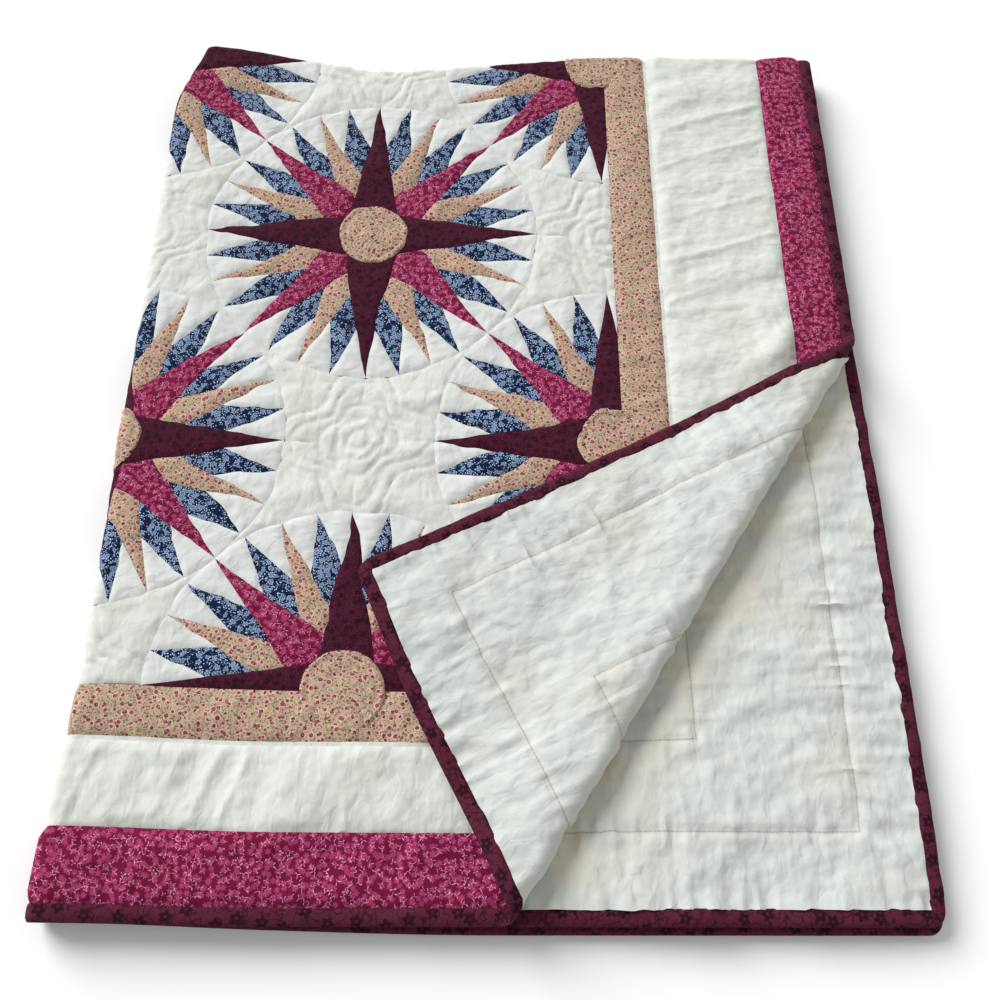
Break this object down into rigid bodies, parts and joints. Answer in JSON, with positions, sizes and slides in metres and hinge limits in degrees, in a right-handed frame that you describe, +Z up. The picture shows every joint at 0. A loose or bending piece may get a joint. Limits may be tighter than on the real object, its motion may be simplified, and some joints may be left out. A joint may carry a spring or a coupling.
{
  "type": "folded star quilt blanket",
  "caption": "Pieced compass-star quilt with three borders and a binding, folded in quarters and laid flat, one near corner turned back to show its plain backing.",
  "frame": {"origin": "middle of the folded quilt's box, on the surface it lies on", "axes": "+Z up; +Y from the turned corner's edge towards the top fold, the longer way of the folded quilt; +X from the left fold towards the free edge"},
  "size_m": [0.8636, 1.1, 0.0514],
  "materials": {
    "cream_cotton": "plain cream cotton, hand quilted, matt",
    "peach_print": "peach cotton with a small printed flower and vine, matt",
    "crimson_print": "crimson cotton with a fine printed line of flowers, matt",
    "burgundy_print": "burgundy cotton with small darker flowers, matt",
    "muslin_backing": "off-white muslin, soft and matt"
  },
  "bodies": {
    "root": {"star_field": "cream_cotton", "inner_border_right": "peach_print", "inner_border_left": "peach_print", "inner_border_near": "peach_print", "inner_border_far": "peach_print", "middle_border_right": "cream_cotton", "middle_border_left": "cream_cotton", "middle_border_near": "cream_cotton", "middle_border_far": "cream_cotton", "outer_border_right": "crimson_print", "outer_border_left": "crimson_print", "outer_border_near": "crimson_print", "outer_border_far": "crimson_print", "backing": "muslin_backing", "binding": "burgundy_print"}
  },
  "joints": []
}
